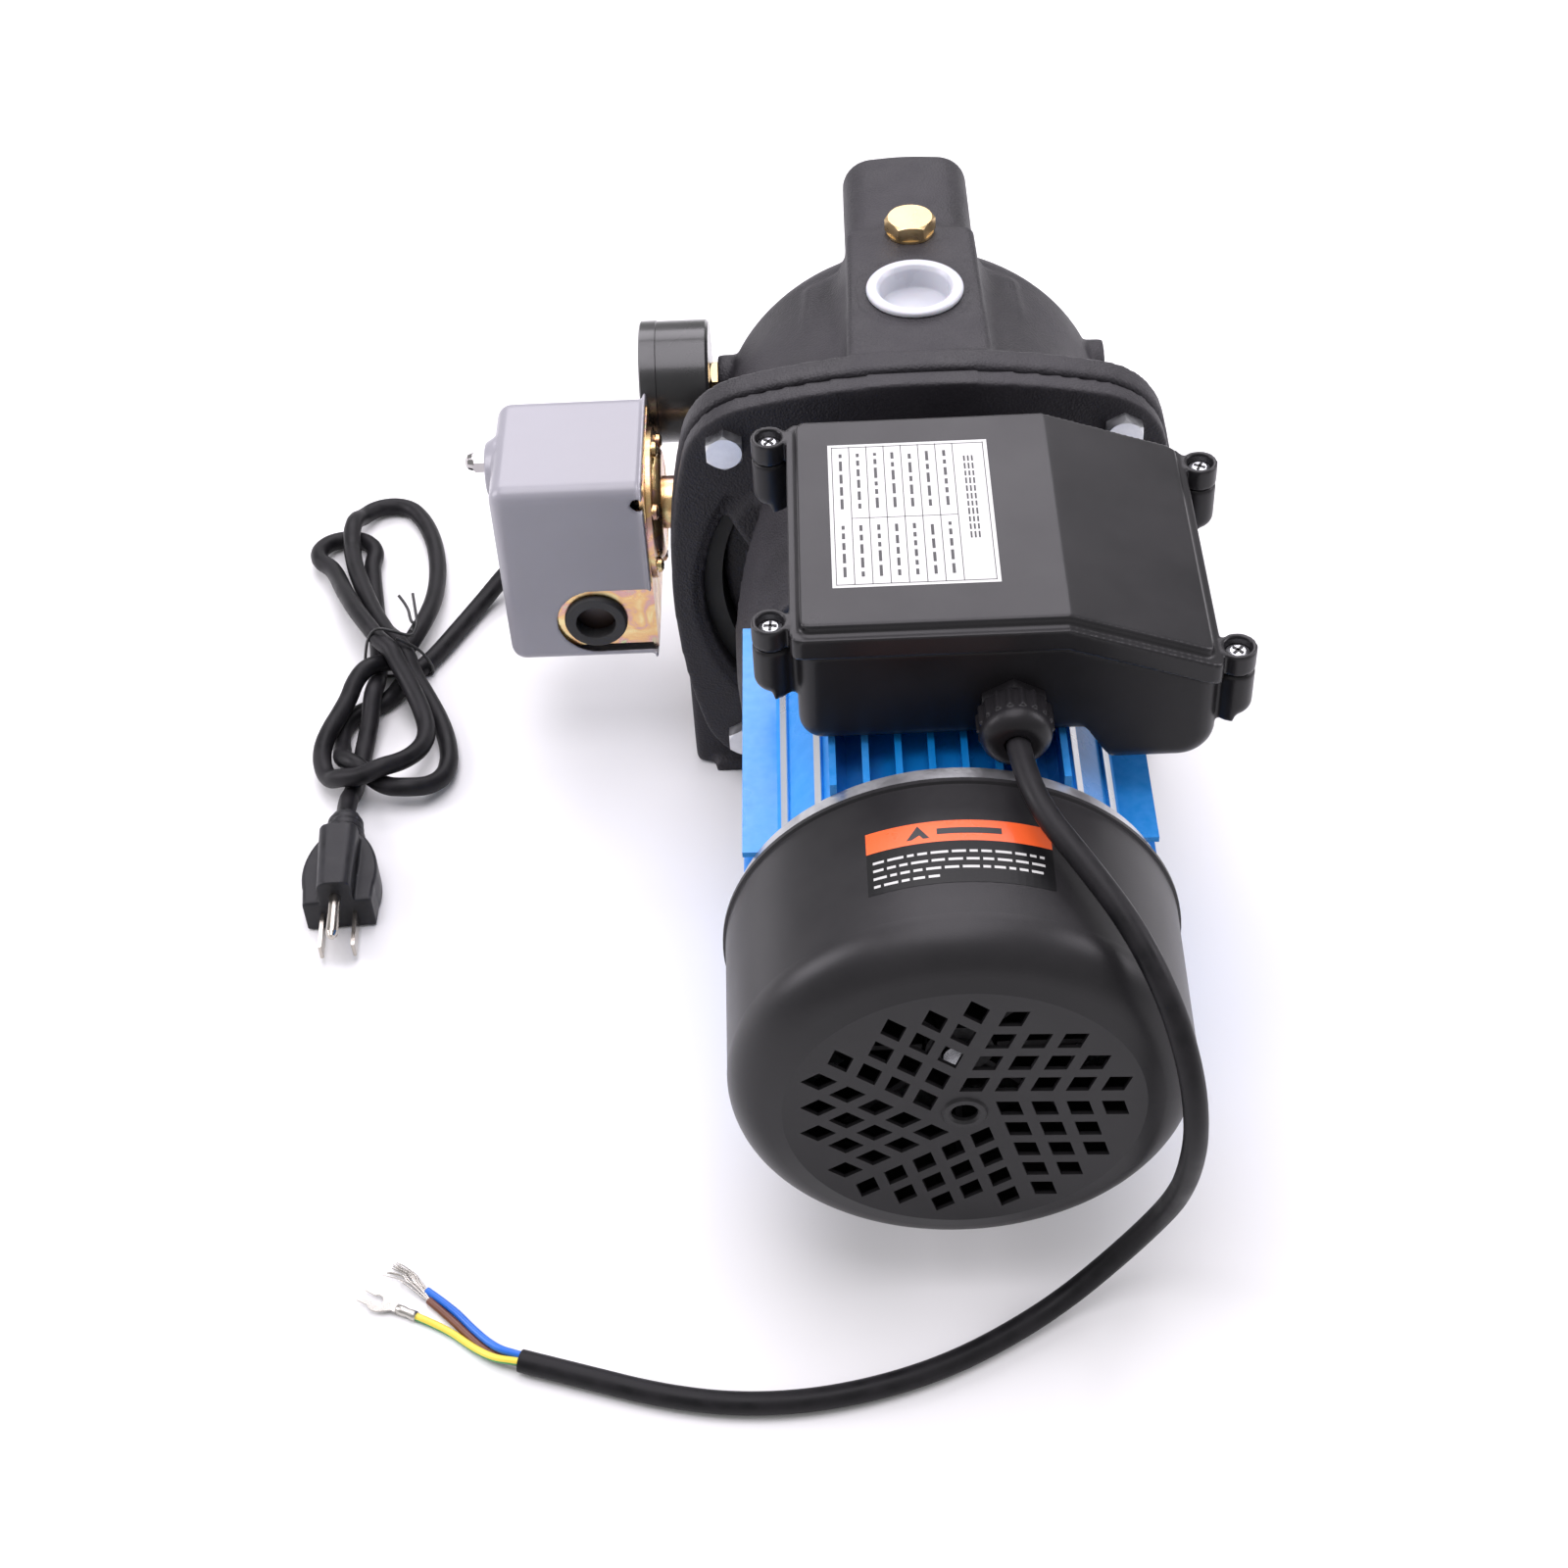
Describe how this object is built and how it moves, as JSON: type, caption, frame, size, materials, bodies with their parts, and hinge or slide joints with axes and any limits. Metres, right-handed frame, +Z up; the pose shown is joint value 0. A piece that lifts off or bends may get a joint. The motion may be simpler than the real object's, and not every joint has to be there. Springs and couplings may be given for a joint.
{
  "type": "shallow well jet pump",
  "caption": "Shallow well jet pump: cast-iron pump end on a foot, finned motor with fan cover, terminal box, side pressure switch, gauge and two loose cords.",
  "frame": {"origin": "on the floor under the shaft, on the underside of the foot, in the plane where the motor bracket meets the gasket", "axes": "+Y runs along the shaft to the suction port, +Z is up, and the pressure switch and gauge are on -X"},
  "size_m": [0.3651, 0.4874, 0.2161],
  "materials": {
    "cast_iron_black": "sand cast, black painted",
    "gasket_rubber": "matte",
    "zinc_bolt": "zinc plated",
    "machined_steel": "turned",
    "brass": "machined",
    "inner_plastic": "moulded",
    "seal_ceramic": "lapped",
    "seal_carbon": "carbon and rubber",
    "cap_white": "translucent moulding",
    "motor_blue": "gloss on aluminium",
    "lamination_steel": "stacked sheet",
    "copper_winding": "enamelled wire",
    "cast_aluminium": "as cast",
    "fan_black": "moulded",
    "cover_black": "satin black",
    "box_black": "moulded ABS, satin",
    "capacitor_white": "moulded",
    "terminal_plastic": "moulded",
    "switch_grey": "gloss grey paint",
    "zinc_yellow": "yellow chromate",
    "contact_black": "phenolic",
    "grommet_rubber": "matte",
    "gauge_black": "satin black",
    "dial_white": "printed dial",
    "gauge_glass": "clear",
    "pointer_black": "matte",
    "cord_black": "extruded jacket",
    "wire_insulation": "blue, brown and green-yellow",
    "plug_black": "moulded vinyl",
    "pin_nickel": "plated blades"
  },
  "bodies": {
    "pump": {"pump_body": "cast_iron_black", "body_gasket": "gasket_rubber", "bracket": "cast_iron_black", "flange_bolts": "zinc_bolt", "diffuser": "inner_plastic", "venturi_tube": "inner_plastic", "ejector_nozzle": "brass", "seal_seat": "seal_ceramic", "motor_housing": "motor_blue", "stator_core": "lamination_steel", "stator_windings": "copper_winding", "bearing_outer_rings": "machined_steel", "end_shield": "cast_aluminium", "tie_bolts": "zinc_bolt", "fan_cover": "cover_black", "fan_cover_screws": "zinc_bolt", "motor_foot": "fan_black", "box_base": "box_black", "box_lid": "box_black", "box_gasket": "gasket_rubber", "box_screws": "zinc_bolt", "capacitor": "capacitor_white", "terminal_block": "terminal_plastic", "gland_body": "box_black", "gland_nut": "box_black", "switch_plate": "zinc_yellow", "diaphragm_housing": "zinc_yellow", "switch_screws": "zinc_yellow", "range_stud": "zinc_bolt", "range_spring": "machined_steel", "contact_block": "contact_black", "switch_grommets": "grommet_rubber", "switch_nipple": "brass", "gauge_case": "gauge_black", "gauge_dial": "dial_white", "gauge_lens": "gauge_glass", "gauge_connector": "brass", "motor_cord": "cord_black", "cord_wires": "wire_insulation", "switch_cord": "cord_black", "switch_cord_hank": "cord_black", "cord_tie": "gasket_rubber", "plug_body": "plug_black", "plug_pins": "pin_nickel"},
    "rotor": {"shaft": "machined_steel", "rotor_core": "lamination_steel", "bearing_inner_rings": "machined_steel", "seal_head": "seal_carbon", "impeller": "brass", "impeller_nut": "brass", "fan": "fan_black"},
    "bearing_cages": {"bearing_balls": "machined_steel"},
    "pointer": {"gauge_pointer": "pointer_black"},
    "switch_hood": {"switch_cover": "switch_grey", "cover_nut": "zinc_bolt"},
    "lever": {"switch_lever": "zinc_yellow"},
    "pusher": {"diaphragm_pusher": "machined_steel"},
    "dust_cap": {"discharge_cap": "cap_white"},
    "filler_plug": {"priming_plug": "brass"},
    "drain": {"drain_plug": "brass"}
  },
  "joints": [
    {"name": "rotor_spin", "type": "hinge", "parent": "pump", "child": "rotor", "pos_m": [0, 0, 0.098], "axis": [0, 1, 0], "continuous": true},
    {"name": "bearing_cage_spin", "type": "hinge", "parent": "pump", "child": "bearing_cages", "pos_m": [0, 0, 0.098], "axis": [0, 1, 0], "continuous": true},
    {"name": "gauge_needle", "type": "hinge", "parent": "pump", "child": "pointer", "pos_m": [-0.105, 0.1035, 0.1201], "axis": [1, 0, 0], "range_deg": [0, 270], "stiffness_Nm_per_rad": 0.0005},
    {"name": "switch_hood_off", "type": "slide", "parent": "pump", "child": "switch_hood", "axis": [-1, 0, 0], "range_m": [0, 0.075]},
    {"name": "lever_rock", "type": "hinge", "parent": "pump", "child": "lever", "pos_m": [-0.11125, 0.0455, 0.053], "axis": [0, -1, 0], "range_deg": [0, 1.5], "stiffness_Nm_per_rad": 2},
    {"name": "pusher_travel", "type": "slide", "parent": "pump", "child": "pusher", "axis": [-1, 0, 0], "range_m": [0, 0.0014]},
    {"name": "dust_cap_pull", "type": "slide", "parent": "pump", "child": "dust_cap", "axis": [0, 0, 1], "range_m": [0, 0.03]},
    {"name": "filler_plug_out", "type": "slide", "parent": "pump", "child": "filler_plug", "axis": [0, 0, 1], "range_m": [0, 0.03]},
    {"name": "drain_plug_out", "type": "slide", "parent": "pump", "child": "drain", "axis": [0, 1, 0], "range_m": [0, 0.03]}
  ],
  "couplings": [
    {"joint": "bearing_cage_spin", "follows": "rotor_spin", "ratio": 0.38},
    {"joint": "pusher_travel", "follows": "lever_rock", "m_per_rad": 0.045}
  ]
}
